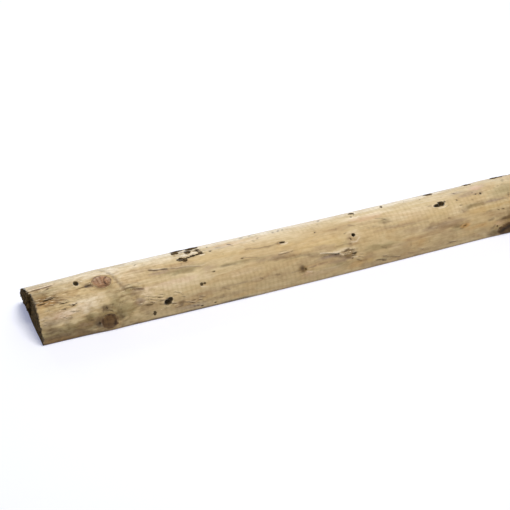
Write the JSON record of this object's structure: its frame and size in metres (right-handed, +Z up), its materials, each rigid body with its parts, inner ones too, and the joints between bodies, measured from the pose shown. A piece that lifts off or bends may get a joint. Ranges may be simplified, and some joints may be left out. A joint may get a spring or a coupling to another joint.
{
  "type": "half round timber rail",
  "caption": "Half round softwood fence rail: a peeled pole sawn along its length, with knots, open knot holes and a broken tongue at one sawn end.",
  "frame": {"origin": "under the middle of the rail, on its flat sawn face", "axes": "+X along the grain, away from the end with the broken tongue; +Y to the back edge; +Z up through the round side"},
  "size_m": [1.8, 0.1051, 0.0496],
  "materials": {
    "timber": "peeled softwood with a faint green treatment tint, machine peeled on the round side, sawn on the flat face, dark rough sawn ends"
  },
  "bodies": {
    "root": {"half_round_rail": "timber"}
  },
  "joints": []
}
